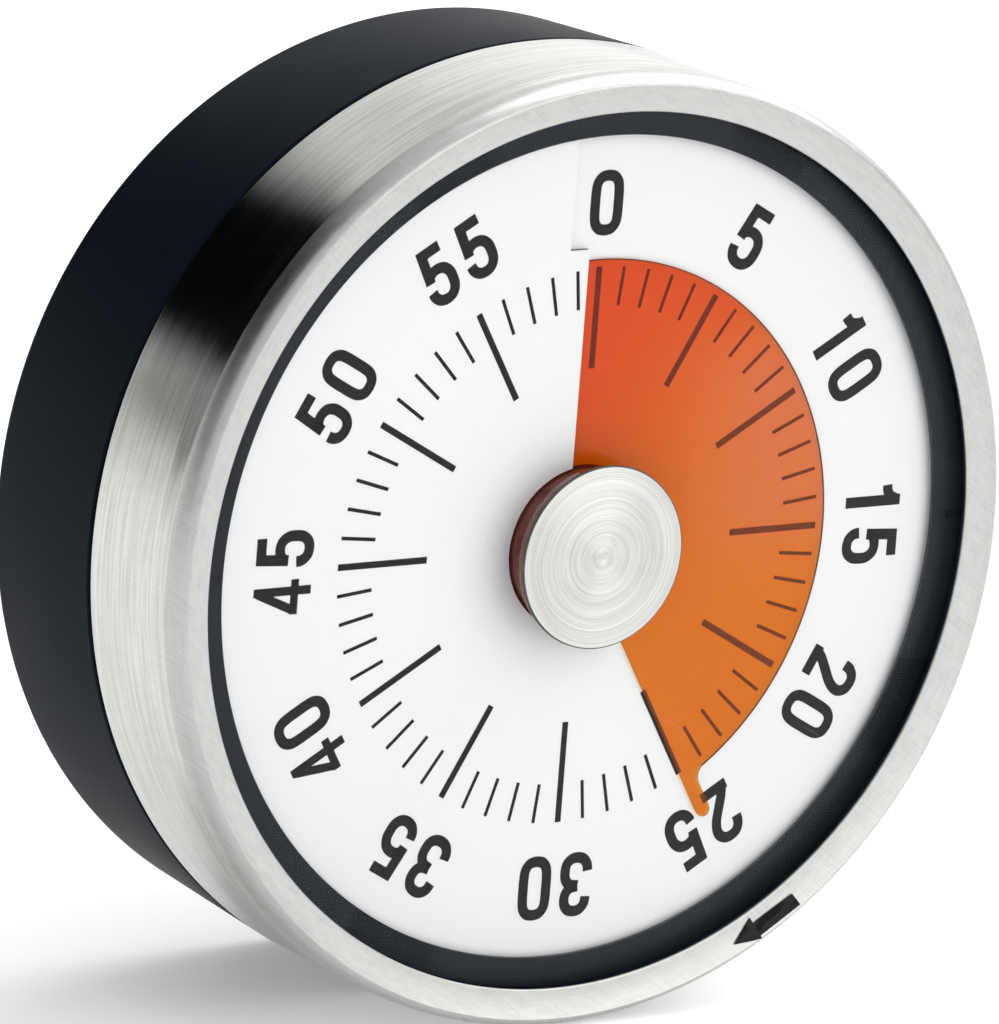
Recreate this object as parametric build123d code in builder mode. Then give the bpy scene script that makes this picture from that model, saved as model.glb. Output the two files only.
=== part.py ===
"""Kitchen timer: a round sixty-minute visual timer with a turning steel front.

Frame: +Z is up when the timer stands on its rim, the dial faces -Y, and the
origin is the centre of the magnet pad's outer face, with +Y out of the back.
Lengths are millimetres.  A "height" is a distance in front of that back face,
so height h lies at y = -h.
"""

from math import acos, cos, degrees, pi, radians, sin, tan
import os

from build123d import *

os.makedirs("parts", exist_ok=True)

# ---------------------------------------------------------------- driving sizes
lip_radius = 39.0            # widest circle of the steel front
lip_height = 32.0            # front crest of the steel lip
lip_corner = 1.0             # rounding of the lip's outer edge
window_radius = 35.9         # inner edge of the steel lip
window_height = 31.2
ring_back_height = 18.4      # rear edge of the steel ring
body_front_height = 18.1     # front edge of the plastic body
body_front_radius = 38.95
body_back_radius = 38.1
body_back_height = 2.0       # rear face of the body, without the magnet
shell_bore = 36.5            # inside of the body wall and seat of the cover

running_gap = 0.08           # radial clearance of the large guide
pivot_gap = 0.04             # radial clearance of the small pivots

# heights of the window stack, back to front
guide_top = 26.4             # end of the body's guide sleeve
web_top = 27.4               # front face of the dial support's web
dial_low = 28.58             # middle of the dial where it starts, at 0
screw_rise = 0.55            # rise of the dial and of the film over one turn
dial_thickness = 0.2
film_thickness = 0.1
flange_bottom = 29.35
flange_top = 29.65
lens_top = 30.65
hub_top = 31.7
cap_top = 32.5

# radii of the window stack
guide_radius = 35.1
carrier_radius = 37.6
lens_radius = 36.6
flange_radius = 33.7
dial_radius = 34.3
ramp_radius = 28.4           # inside of the ramp that carries the dial
film_radius = 23.5
film_tab_radius = 27.4
hub_radius = 6.5
cap_radius = 7.5
dial_hole_radius = 6.7
film_hole_radius = 6.62

minutes_at_rest = 25         # the time that the timer is set to
degrees_per_minute = 6
film_edge_angle = minutes_at_rest * degrees_per_minute

# movement
back_plate_bottom = 12.5
front_plate_bottom = 22.5
plate_thickness = 1.0
plate_radius = 24.0
arbor_radius = 1.5
pressure_angle = radians(25)
addendum = 0.7               # in modules
dedendum = 0.95
backlash = 0.05              # thinning of each tooth at the pitch circle

# ---------------------------------------------------------------- working planes
section = Plane(origin=(0, 0, 0), x_dir=(1, 0, 0), z_dir=(0, 0, -1))


def level(height):
    """The plane parallel to the dial at a height in front of the back face."""
    return Plane.XZ.offset(height)


def clock_point(radius, clock_angle):
    """A point at a radius and an angle turned clockwise from the top."""
    return (radius * sin(radians(clock_angle)), radius * cos(radians(clock_angle)))


def polar_point(centre, radius, angle):
    """A point at a radius and an angle from +X, about a centre."""
    return (centre[0] + radius * cos(radians(angle)), centre[1] + radius * sin(radians(angle)))


def add_turned(points):
    """Revolve a closed outline of (radius, height) points about the main axis."""
    with BuildSketch(section) as outline:
        with BuildLine():
            Polyline(*points, close=True)
        make_face()
    revolve(outline.sketch, axis=Axis.Y)


def add_round(bottom, top, radius, centres=((0, 0),), mode=Mode.ADD):
    """Add or cut round bars between two heights."""
    with BuildSketch(level(bottom)) as outline:
        with Locations(*centres):
            Circle(radius)
    extrude(outline.sketch, amount=top - bottom, mode=mode)


def add_bar(bottom, top, start, end, width):
    """Add a straight bar with round ends between two points."""
    length = ((end[0] - start[0]) ** 2 + (end[1] - start[1]) ** 2) ** 0.5
    turn = degrees(acos((end[0] - start[0]) / length))
    if end[1] < start[1]:
        turn = -turn
    middle = ((start[0] + end[0]) / 2, (start[1] + end[1]) / 2)
    with BuildSketch(level(bottom)) as outline:
        with Locations(middle):
            SlotCenterToCenter(length, width, rotation=turn)
    extrude(outline.sketch, amount=top - bottom)


def save(piece, name):
    """Label one finished piece and write it to its STEP file."""
    piece.part.label = name
    export_step(piece.part, "parts/" + name + ".step")


# ---------------------------------------------------------------- screw surfaces
def helicoid_face(inner_radius, outer_radius, start_angle, end_angle, height_at_zero):
    """A radial line screwed clockwise from start to end, rising screw_rise a turn.

    Angles are clockwise from the top, in degrees, and height_at_zero is the
    surface's height at the top.
    """
    turn = end_angle - start_angle
    rise = screw_rise * turn / 360
    start_height = height_at_zero + screw_rise * start_angle / 360
    edges = []
    for radius in (inner_radius, outer_radius):
        helix = Edge.make_helix(screw_rise, rise, radius, lefthand=True)
        # the helix starts on +X about +Z; lay it about -Y, starting at the top
        helix = helix.rotate(Axis.Z, 90)
        helix = helix.rotate(Axis.X, 90)
        helix = helix.rotate(Axis.Y, start_angle)
        edges.append(helix.translate((0, -start_height, 0)))
    return Face.make_surface_from_curves(edges[0], edges[1])


def add_helicoid(inner_radius, outer_radius, start_angle, end_angle, middle_at_zero, thickness):
    """Add a helicoid sheet of a thickness about its middle surface."""
    bottom = middle_at_zero - thickness / 2
    face = helicoid_face(inner_radius, outer_radius, start_angle, end_angle, bottom)
    extrude(to_extrude=face, amount=thickness, dir=(0, -1, 0))


# ---------------------------------------------------------------- gears
def gear_points(teeth, module, phase):
    """Outline of a gear with involute flanks; a tooth is centred at phase degrees."""
    pitch = module * teeth / 2
    base = pitch * cos(pressure_angle)
    tip = pitch + addendum * module
    root = pitch - dedendum * module
    half_at_pitch = (pi * module / 2 - backlash) / (2 * pitch)

    def half_angle(radius):
        pressure = acos(min(1.0, base / radius))
        return half_at_pitch + tan(pressure_angle) - pressure_angle - tan(pressure) + pressure

    flank = [root, pitch, tip] if base <= root else [root, base, pitch, tip]
    points = []
    for tooth in range(teeth):
        middle = radians(phase) + 2 * pi * tooth / teeth
        for radius in flank:
            angle = middle - half_angle(radius)
            points.append((radius * cos(angle), radius * sin(angle)))
        for radius in reversed(flank):
            angle = middle + half_angle(radius)
            points.append((radius * cos(angle), radius * sin(angle)))
    return points


def mesh_phase(wheel, pinion):
    """Phase in degrees that puts the pinion's space against the wheel's tooth."""
    dx = pinion["at"][0] - wheel["at"][0]
    dz = pinion["at"][1] - wheel["at"][1]
    direction = degrees(acos(dx / (dx * dx + dz * dz) ** 0.5))
    if dz < 0:
        direction = -direction
    teeth_past = (direction - wheel["phase"]) * wheel["teeth"] / 360
    return direction + 180 - (360 / pinion["teeth"]) * (0.5 - teeth_past)


def add_gear(gear, bottom, top):
    """Add the toothed disc of a gear between two heights."""
    with BuildSketch(level(bottom).shift_origin(level(bottom).from_local_coords(gear["at"]))) as outline:
        with BuildLine():
            Polyline(*gear_points(gear["teeth"], gear["module"], gear["phase"]), close=True)
        make_face()
    extrude(outline.sketch, amount=top - bottom)


# ================================================================ fixed case
shoulder_inside = body_front_height - 1.5    # inner face of the body's front shoulder
sleeve_wall = 1.5
cover_top = 4.0              # front face of the back cover's rim
case_screw_places = [clock_point(33.2, angle) for angle in (45, 135, 225, 315)]
case_boss_radius = 3.5
case_thread_radius = 0.88
case_head_radius = 2.05
case_head_seat = 3.2
case_thread_end = 11.0

with BuildPart() as body_shell:
    add_turned([
        (shell_bore, body_back_height),
        (body_back_radius - 0.9, body_back_height),
        (body_back_radius - 0.25, body_back_height + 0.3),
        (body_back_radius, body_back_height + 1.0),
        (body_front_radius, body_front_height - 0.3),
        (body_front_radius - 0.3, body_front_height),
        (guide_radius, body_front_height),
        (guide_radius, guide_top),
        (guide_radius - sleeve_wall, guide_top),
        (guide_radius - sleeve_wall, shoulder_inside),
        (shell_bore, shoulder_inside),
    ])
    # bosses for the case screws, joined to the wall
    with BuildSketch(level(cover_top)):
        with Locations(*case_screw_places):
            Circle(case_boss_radius)
        Circle(shell_bore + 0.5, mode=Mode.INTERSECT)
    extrude(amount=shoulder_inside - cover_top)
    add_round(cover_top, case_thread_end + 1.5, case_thread_radius + 0.02, case_screw_places, Mode.SUBTRACT)

magnet_radius = 22.0
magnet_bore = 9.0
magnet_bottom = 0.6
magnet_top = 4.6
slot_circle = 27.9
slot_count = 24
with BuildPart() as back_cover:
    add_round(body_back_height, cover_top, shell_bore - 0.06)
    # the magnet's cup stands up inside
    add_round(cover_top, magnet_top + 1.0, magnet_radius + 1.6)
    chamfer(back_cover.faces().sort_by(Axis.Y)[-1].outer_wire().edges(), 0.35)
    with BuildSketch(level(body_back_height)):
        Circle(magnet_radius + 0.05)
        Circle(magnet_bore - 0.05, mode=Mode.SUBTRACT)
    extrude(amount=magnet_top - body_back_height, mode=Mode.SUBTRACT)
    # sound slots in front of the bell
    with BuildSketch(level(body_back_height)):
        with PolarLocations(slot_circle, slot_count):
            SlotOverall(5.0, 1.3)
    extrude(amount=cover_top - body_back_height, mode=Mode.SUBTRACT)
    add_round(body_back_height, cover_top, case_thread_radius + 0.27, case_screw_places, Mode.SUBTRACT)
    add_round(body_back_height, case_head_seat, case_head_radius + 0.25, case_screw_places, Mode.SUBTRACT)

with BuildPart() as ring_magnet:
    with BuildSketch(level(magnet_bottom)):
        Circle(magnet_radius)
        Circle(magnet_bore, mode=Mode.SUBTRACT)
    extrude(amount=magnet_top - magnet_bottom)
    chamfer(ring_magnet.edges().filter_by(GeomType.CIRCLE).sort_by(Axis.Y)[-1], 0.3)

with BuildPart() as magnet_pad:
    add_round(0, magnet_bottom, magnet_radius - 0.6)

case_head_back = body_back_height + 0.1
with BuildPart() as case_screws:
    add_round(case_head_back, case_head_seat, case_head_radius, case_screw_places)
    add_round(case_head_seat, case_thread_end, case_thread_radius, case_screw_places)
    # crossed slots for the driver
    with BuildSketch(level(case_head_back)):
        with Locations(*case_screw_places):
            Rectangle(2.4, 0.5)
            Rectangle(0.5, 2.4)
    extrude(amount=0.6, mode=Mode.SUBTRACT)

# ================================================================ dial and its support
cut_inner_x = -1.2           # edge of the dial's cut, inside the film's radius
cut_outer_x = -3.0           # edge of the cut outside it, clear of the 0
cut_jog_z = 24.4
cut_width = 0.15
cut_half_angle = 20          # overlap of the two ends before they are trimmed
cut_middle = dial_low + screw_rise / 2


def trim_ends(bottom, top):
    """Trim the sheet's two overlapping ends to the stepped cut at the top.

    The low end starts to the right of the cut and the high end stops to its
    left, and the step between the two is what the film passes through.
    """
    reach = lip_radius + 1
    for low, high, side in ((bottom, cut_middle, -1), (cut_middle, top, 1)):
        gap = cut_width if side > 0 else 0
        with BuildSketch(level(low)) as outline:
            inner = cut_inner_x - gap
            outer = cut_outer_x - gap
            far = side * 14.0
            with BuildLine():
                Polyline(
                    (inner, 0), (inner, cut_jog_z), (outer, cut_jog_z), (outer, reach),
                    (far, reach), (far, 0), close=True,
                )
            make_face()
        extrude(outline.sketch, amount=high - low, mode=Mode.SUBTRACT)


with BuildPart() as dial:
    add_helicoid(dial_hole_radius, dial_radius, -cut_half_angle, 360 + cut_half_angle,
                 dial_low, dial_thickness)
    trim_ends(dial_low - 1, dial_low + 2)

support_thickness = 0.7
support_ring_top = web_top + 0.45
support_places = [clock_point(21.0, angle) for angle in (40, 160, 280)]
support_thread_radius = 0.88
support_head_radius = 1.9
support_head_seat = web_top - 0.9
support_post_bottom = front_plate_bottom + plate_thickness
with BuildPart() as dial_support:
    # the ramp's two ends stop just clear of the dial's cut
    add_helicoid(ramp_radius, dial_radius, -4.9, 353.7,
                 dial_low - dial_thickness / 2 - support_thickness / 2, support_thickness)
    with BuildSketch(level(web_top)):
        Circle(dial_radius)
        Circle(ramp_radius, mode=Mode.SUBTRACT)
    extrude(amount=support_ring_top - web_top)
    add_round(guide_top, web_top, guide_radius - 0.1)
    # the sleeve spigot centres the support in the guide
    with BuildSketch(level(guide_top - 1.2)):
        Circle(guide_radius - sleeve_wall - 0.05)
        Circle(guide_radius - 2 * sleeve_wall, mode=Mode.SUBTRACT)
    extrude(amount=1.2)
    # three posts stand on the movement's front plate
    add_round(support_post_bottom, guide_top, 2.6, support_places)
    add_round(support_post_bottom, web_top, support_thread_radius + 0.07, support_places, Mode.SUBTRACT)
    add_round(support_head_seat, web_top, support_head_radius + 0.1, support_places, Mode.SUBTRACT)
    add_round(guide_top, web_top, arbor_radius + 0.9, mode=Mode.SUBTRACT)

with BuildPart() as dial_support_screws:
    add_round(support_head_seat, web_top - 0.1, support_head_radius, support_places)
    add_round(front_plate_bottom, support_head_seat, support_thread_radius, support_places)
    with BuildSketch(level(web_top - 0.5)):
        with Locations(*support_places):
            Rectangle(2.2, 0.45)
    extrude(amount=0.5, mode=Mode.SUBTRACT)

# ================================================================ turning front
waist_back = 27.4            # the shallow waist behind the lip
waist_deepest = 29.35
waist_front = 30.35
waist_depth = 0.42
with BuildPart() as steel_ring:
    with BuildSketch(section):
        with BuildLine():
            Polyline((carrier_radius, lens_top), (carrier_radius, ring_back_height),
                     (lip_radius - 0.3, ring_back_height))
            RadiusArc((lip_radius - 0.3, ring_back_height), (lip_radius, ring_back_height + 0.3), -0.3)
            Line((lip_radius, ring_back_height + 0.3), (lip_radius, waist_back))
            ThreePointArc((lip_radius, waist_back), (lip_radius - waist_depth / 3, waist_deepest - 0.85),
                          (lip_radius - waist_depth, waist_deepest))
            ThreePointArc((lip_radius - waist_depth, waist_deepest),
                          (lip_radius - 0.8 * waist_depth, waist_front - 0.4), (lip_radius, waist_front))
            Line((lip_radius, waist_front), (lip_radius, lip_height - lip_corner))
            RadiusArc((lip_radius, lip_height - lip_corner), (lip_radius - lip_corner, lip_height), -lip_corner)
            Polyline((lip_radius - lip_corner, lip_height), (window_radius + 0.15, window_height),
                     (window_radius, window_height - 0.12), (window_radius, lens_top),
                     (carrier_radius, lens_top))
        make_face()
    revolve(axis=Axis.Y)

with BuildPart() as front_carrier:
    add_turned([
        (guide_radius + running_gap, ring_back_height + 0.2),
        (carrier_radius, ring_back_height + 0.2),
        (carrier_radius, lens_top),
        (lens_radius + 0.05, lens_top),
        (lens_radius + 0.05, flange_top),
        (flange_radius, flange_top),
        (flange_radius, flange_bottom),
        (guide_radius + running_gap, flange_bottom),
    ])

with BuildPart() as lens:
    with BuildSketch(level(flange_top)):
        Circle(lens_radius)
        Circle(hub_radius, mode=Mode.SUBTRACT)
    extrude(amount=lens_top - flange_top)

hub_bottom = 27.7
hub_recess_bottom = 29.9
hub_recess_radius = 4.2
with BuildPart() as knob_hub:
    add_round(hub_bottom, hub_top, hub_radius)
    add_round(hub_recess_bottom, hub_top, hub_recess_radius, mode=Mode.SUBTRACT)
    add_round(hub_bottom, hub_recess_bottom, arbor_radius, mode=Mode.SUBTRACT)

with BuildPart() as knob_cap:
    add_round(hub_top, cap_top, cap_radius)
    chamfer(knob_cap.edges().filter_by(GeomType.CIRCLE).sort_by(Axis.Y)[0], 0.25)
    add_round(hub_top - 0.6, hub_top, hub_recess_radius)

hub_thread_radius = 0.8
hub_thread_end = hub_recess_bottom - 4.4
with BuildPart() as hub_screw:
    add_round(hub_recess_bottom, hub_recess_bottom + 1.1, 2.6)
    add_round(hub_thread_end, hub_recess_bottom, hub_thread_radius)
    with BuildSketch(level(hub_recess_bottom + 0.5)):
        Rectangle(3.2, 0.5)
        Rectangle(0.5, 3.2)
    extrude(amount=0.6, mode=Mode.SUBTRACT)

arbor_pivot_radius = 1.0
with BuildPart() as winding_arbor:
    add_round(back_plate_bottom + plate_thickness, hub_recess_bottom, arbor_radius)
    add_round(back_plate_bottom + 0.2, back_plate_bottom + plate_thickness, arbor_pivot_radius)
    add_round(hub_thread_end - 0.2, hub_recess_bottom, hub_thread_radius, mode=Mode.SUBTRACT)

# ---------------------------------------------------------------- film
film_end_gap = 1.0           # open angle between the film's two edges
tab_width_angle = 2.7
film_middle = dial_low + screw_rise / 2
with BuildPart() as film_tab:
    add_helicoid(film_radius - 3, film_tab_radius, film_edge_angle - 10, film_edge_angle,
                 film_middle, film_thickness)
    with BuildSketch(level(dial_low - 1)):
        with BuildLine():
            tab_foot = clock_point(film_radius - 2, film_edge_angle - 5)
            notch = clock_point(film_radius - 0.03, film_edge_angle - 4.2)
            waist = clock_point(film_radius + 0.9, film_edge_angle - tab_width_angle)
            shoulder = clock_point(film_tab_radius - 0.35, film_edge_angle - tab_width_angle)
            tip = clock_point(film_tab_radius - 0.02, film_edge_angle - 1.3)
            corner = clock_point(film_tab_radius - 0.8, film_edge_angle + 0.3)
            foot = clock_point(film_radius - 2, film_edge_angle + 0.3)
            Polyline(corner, foot, tab_foot, notch, waist, shoulder)
            ThreePointArc(shoulder, tip, corner)
        make_face()
    extrude(amount=3, mode=Mode.INTERSECT)

with BuildPart() as time_film:
    add_helicoid(film_hole_radius, film_radius, film_edge_angle - 360 + film_end_gap,
                 film_edge_angle, film_middle, film_thickness)
    # the rounded pointer at the film's leading edge
    add(film_tab.part)

# ================================================================ movement
front_plate_top = front_plate_bottom + plate_thickness
back_plate_top = back_plate_bottom + plate_thickness
pivot_radius = 0.35
shaft_radius = 0.55
thread_radius = 0.83         # screws into the pillars
pillar_radius = 1.5
rivet_radius = 0.9           # pillar ends in the back plate

# (bottom, top) heights of the train's wheels and pinions
second_pinion_span = (17.7, 19.1)
second_wheel_span = (19.8, 20.5)
third_pinion_span = (19.5, 20.8)
third_wheel_span = (21.0, 21.6)
escape_pinion_span = (20.7, 21.9)
escape_wheel_span = (19.6, 20.2)
balance_span = (21.0, 21.6)
hammer_shaft_radius = 0.6

leaf_count = 10              # leaves of every pinion
main_teeth = 80
second_teeth = 75
third_teeth = 60
main_module = 0.3
second_module = 0.26
third_module = 0.24
main_gear = {"at": (0, 0), "teeth": main_teeth, "module": main_module, "phase": 0}
second_place = polar_point((0, 0), main_module * (main_teeth + leaf_count) / 2, 150)
second_leaves = {"at": second_place, "teeth": leaf_count, "module": main_module}
second_leaves["phase"] = mesh_phase(main_gear, second_leaves)
second_gear = {"at": second_place, "teeth": second_teeth, "module": second_module, "phase": 0}
third_place = polar_point(second_place, second_module * (second_teeth + leaf_count) / 2, 40)
third_leaves = {"at": third_place, "teeth": leaf_count, "module": second_module}
third_leaves["phase"] = mesh_phase(second_gear, third_leaves)
third_gear = {"at": third_place, "teeth": third_teeth, "module": third_module, "phase": 0}
escape_place = polar_point(third_place, third_module * (third_teeth + leaf_count) / 2, -10)
escape_leaves = {"at": escape_place, "teeth": leaf_count, "module": third_module}
escape_leaves["phase"] = mesh_phase(third_gear, escape_leaves)

escape_radius = 5.0
escape_teeth = 20
pallet_direction = -30
pallet_spread = 36           # two tooth pitches each side of the line of centres
pallet_place = polar_point(escape_place, 7.5, pallet_direction)
hammer_place = (-13.0, -13.5)
stop_place = (12.5, -12.5)
pillar_places = [polar_point((0, 0), 21.5, angle) for angle in (75, 195, 262, 345)]
pivot_places = [second_place, third_place, escape_place, pallet_place, stop_place]

with BuildPart() as back_plate:
    add_round(back_plate_bottom, back_plate_top, plate_radius)
    add_round(back_plate_bottom, back_plate_top, arbor_pivot_radius + pivot_gap, mode=Mode.SUBTRACT)
    add_round(back_plate_bottom, back_plate_top, pivot_radius + pivot_gap, pivot_places, Mode.SUBTRACT)
    add_round(back_plate_bottom, back_plate_top, hammer_shaft_radius + pivot_gap, [hammer_place], Mode.SUBTRACT)
    add_round(back_plate_bottom, back_plate_top, rivet_radius, pillar_places, Mode.SUBTRACT)

with BuildPart() as front_plate:
    add_round(front_plate_bottom, front_plate_top, plate_radius)
    add_round(front_plate_bottom, front_plate_top, arbor_radius + pivot_gap, mode=Mode.SUBTRACT)
    add_round(front_plate_bottom, front_plate_top, pivot_radius + pivot_gap,
              pivot_places + [hammer_place], Mode.SUBTRACT)
    add_round(front_plate_bottom, front_plate_top, thread_radius + 0.02, pillar_places, Mode.SUBTRACT)
    add_round(front_plate_bottom, front_plate_top, support_thread_radius, support_places, Mode.SUBTRACT)

with BuildPart() as plate_pillars:
    add_round(back_plate_top, front_plate_bottom, pillar_radius, pillar_places)
    add_round(back_plate_bottom, back_plate_top, rivet_radius, pillar_places)
    add_round(front_plate_bottom - 3.0, front_plate_bottom, thread_radius + 0.02, pillar_places, Mode.SUBTRACT)

with BuildPart() as plate_screws:
    add_round(front_plate_top, front_plate_top + 0.8, pillar_radius, pillar_places)
    add_round(front_plate_bottom - 2.8, front_plate_top, thread_radius, pillar_places)
    with BuildSketch(level(front_plate_top + 0.4)):
        with Locations(*pillar_places):
            Rectangle(2.0, 0.4)
    extrude(amount=0.4, mode=Mode.SUBTRACT)

# ---------------------------------------------------------------- mainspring
spring_strip = 0.3
spring_half_step = 0.45      # growth of the radius over each half turn
spring_first_radius = 3.2
spring_half_turns = 16
spring_bottom = 14.0
spring_width = 3.3


def spiral_edges(offset):
    """Half circles of growing radius, about two centres, that join into a spiral."""
    radius = spring_first_radius + offset
    for turn in range(spring_half_turns):
        side = 1 if turn % 2 == 0 else -1
        centre = 0 if turn % 2 == 0 else spring_half_step
        ThreePointArc((centre + side * radius, 0), (centre, side * radius), (centre - side * radius, 0))
        radius += spring_half_step


with BuildPart() as mainspring:
    with BuildSketch(level(spring_bottom)):
        first = spring_first_radius
        last = first + spring_half_step * spring_half_turns
        half = spring_strip / 2
        with BuildLine():
            spiral_edges(half)
            spiral_edges(-half)
            Line((first - half, 0), (first + half, 0))
            Line((last - half, 0), (last + half, 0))
        make_face()
    extrude(amount=spring_width)

anchor_radius = 0.55
with BuildPart() as spring_anchor:
    add_round(back_plate_top, spring_bottom + spring_width + 0.4, anchor_radius,
              [(last + half + anchor_radius + 0.1, 0)])

# ---------------------------------------------------------------- arbor and first wheel
main_wheel_bottom = 18.0
main_wheel_top = 18.8
ratchet_top = 19.4
click_pin_place = (0, 6.2)
click_pin_radius = 0.5
with BuildPart() as main_wheel:
    add_gear(main_gear, main_wheel_bottom, main_wheel_top)
    add_round(main_wheel_bottom, main_wheel_top, arbor_radius, mode=Mode.SUBTRACT)
    add_round(main_wheel_bottom, main_wheel_top, click_pin_radius, [click_pin_place], Mode.SUBTRACT)
    # five windows, with the click pin between two of them
    with BuildSketch(level(main_wheel_bottom)):
        with PolarLocations(8.4, 5, start_angle=54):
            Circle(1.7)
    extrude(amount=main_wheel_top - main_wheel_bottom, mode=Mode.SUBTRACT)

ratchet_radius = 3.8
ratchet_teeth = 16
with BuildPart() as ratchet_wheel:
    with BuildSketch(level(main_wheel_top)):
        with BuildLine():
            saw = []
            for tooth in range(ratchet_teeth):
                angle = 360 * tooth / ratchet_teeth
                saw.append(polar_point((0, 0), ratchet_radius, angle))
                saw.append(polar_point((0, 0), ratchet_radius - 0.6, angle + 2))
            Polyline(*saw, close=True)
        make_face()
        Circle(arbor_radius, mode=Mode.SUBTRACT)
    extrude(amount=ratchet_top - main_wheel_top)

with BuildPart() as click_pin:
    add_round(main_wheel_bottom, main_wheel_top + 0.85, click_pin_radius, [click_pin_place])

click_bottom = main_wheel_top + 0.1
click_top = main_wheel_top + 0.6
click_nose = polar_point((0, 0), ratchet_radius + 0.75, 40)
with BuildPart() as click_pawl:
    add_bar(click_bottom, click_top, click_pin_place, click_nose, 0.9)
    add_round(click_bottom, click_top, click_pin_radius + 0.55, [click_pin_place])
    add_round(click_bottom, click_top, click_pin_radius + pivot_gap, [click_pin_place], Mode.SUBTRACT)

cam_bottom = 20.9
cam_top = 21.7
cam_radius = 5.0
notch_radius = 1.1
finger_reach = cam_radius + 1.1
# the lever's arm is tangent to the cam, so its finger moves in and out
finger_angle = 135 + degrees(acos(finger_reach / (stop_place[0] ** 2 + stop_place[1] ** 2) ** 0.5))
with BuildPart() as release_cam:
    add_round(cam_bottom, cam_top, cam_radius)
    # the notch faces the stop lever's finger when the timer has run down to 0
    add_round(cam_bottom, cam_top, notch_radius,
              [clock_point(cam_radius + 0.2, finger_angle + film_edge_angle)], Mode.SUBTRACT)
    add_round(cam_bottom, cam_top, arbor_radius, mode=Mode.SUBTRACT)


# ---------------------------------------------------------------- train
def add_arbor(centre, radius):
    """Add a shaft between the plates, with a pivot at each end."""
    add_round(back_plate_top, front_plate_bottom, radius, [centre])
    add_round(back_plate_bottom + 0.2, front_plate_top - 0.2, pivot_radius, [centre])


def add_pinion(leaves, bottom, top):
    """Add a pinion cut on its own arbor."""
    add_gear(leaves, bottom, top)
    add_arbor(leaves["at"], shaft_radius)


def cut_wheel(centre, bottom, top, inner_radius, outer_radius):
    """Bore a wheel for its arbor and cut four round windows between hub and rim."""
    middle = (inner_radius + outer_radius) / 2
    window = min((outer_radius - inner_radius) / 2, middle * 0.5)
    places = [polar_point(centre, middle, 45 + 90 * turn) for turn in range(4)]
    add_round(bottom, top, window, places, Mode.SUBTRACT)
    add_round(bottom, top, shaft_radius, [centre], Mode.SUBTRACT)


with BuildPart() as second_pinion:
    add_pinion(second_leaves, *second_pinion_span)

with BuildPart() as second_wheel:
    add_gear(second_gear, *second_wheel_span)
    cut_wheel(second_place, *second_wheel_span, 2.0, 8.4)

with BuildPart() as third_pinion:
    add_pinion(third_leaves, *third_pinion_span)

with BuildPart() as third_wheel:
    add_gear(third_gear, *third_wheel_span)
    cut_wheel(third_place, *third_wheel_span, 1.8, 6.1)

with BuildPart() as escape_pinion:
    add_pinion(escape_leaves, *escape_pinion_span)

with BuildPart() as escape_wheel:
    with BuildSketch(level(escape_wheel_span[0])):
        with BuildLine():
            star = []
            # at rest two gaps face the two pallets
            first_tooth = pallet_direction + pallet_spread + 180 / escape_teeth
            for tooth in range(escape_teeth):
                angle = first_tooth + 360 * tooth / escape_teeth
                star.append(polar_point(escape_place, escape_radius, angle - 1))
                star.append(polar_point(escape_place, escape_radius, angle + 1))
                star.append(polar_point(escape_place, escape_radius - 0.95, angle + 9))
            Polyline(*star, close=True)
        make_face()
    extrude(amount=escape_wheel_span[1] - escape_wheel_span[0])
    cut_wheel(escape_place, *escape_wheel_span, 1.3, 3.5)

# ---------------------------------------------------------------- pallet and balance
pallet_shaft = 0.45
with BuildPart() as pallet_arbor:
    add_arbor(pallet_place, pallet_shaft)

# the pallet lever lies level with the escape wheel
with BuildPart() as pallet_lever:
    add_round(*escape_wheel_span, 1.1, [pallet_place])
    for side in (-1, 1):
        nose = polar_point(escape_place, escape_radius + 0.45, pallet_direction + side * pallet_spread)
        add_bar(*escape_wheel_span, pallet_place, nose, 0.7)
    add_round(*escape_wheel_span, pallet_shaft, [pallet_place], Mode.SUBTRACT)

balance_radius = 4.2
balance_rim = 0.9
with BuildPart() as balance_wheel:
    add_round(*balance_span, balance_radius, [pallet_place])
    add_round(*balance_span, balance_radius - balance_rim, [pallet_place], Mode.SUBTRACT)
    spoke_reach = balance_radius - balance_rim + 0.2
    add_bar(*balance_span, polar_point(pallet_place, spoke_reach, 60),
            polar_point(pallet_place, spoke_reach, 240), 1.0)
    add_round(*balance_span, 0.95, [pallet_place])
    add_round(*balance_span, pallet_shaft, [pallet_place], Mode.SUBTRACT)

# ---------------------------------------------------------------- stop lever
lever_finger = clock_point(finger_reach, finger_angle)
lever_tail = (6.0, -15.5)
lever_span = (cam_bottom, cam_top - 0.1)
lever_width = 1.4
with BuildPart() as stop_lever:
    add_bar(*lever_span, stop_place, lever_finger, lever_width)
    add_bar(*lever_span, stop_place, lever_tail, lever_width)
    add_round(*lever_span, lever_width - 0.1, [stop_place])
    add_round(*lever_span, shaft_radius, [stop_place], Mode.SUBTRACT)

with BuildPart() as stop_lever_arbor:
    add_arbor(stop_place, shaft_radius)

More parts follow.
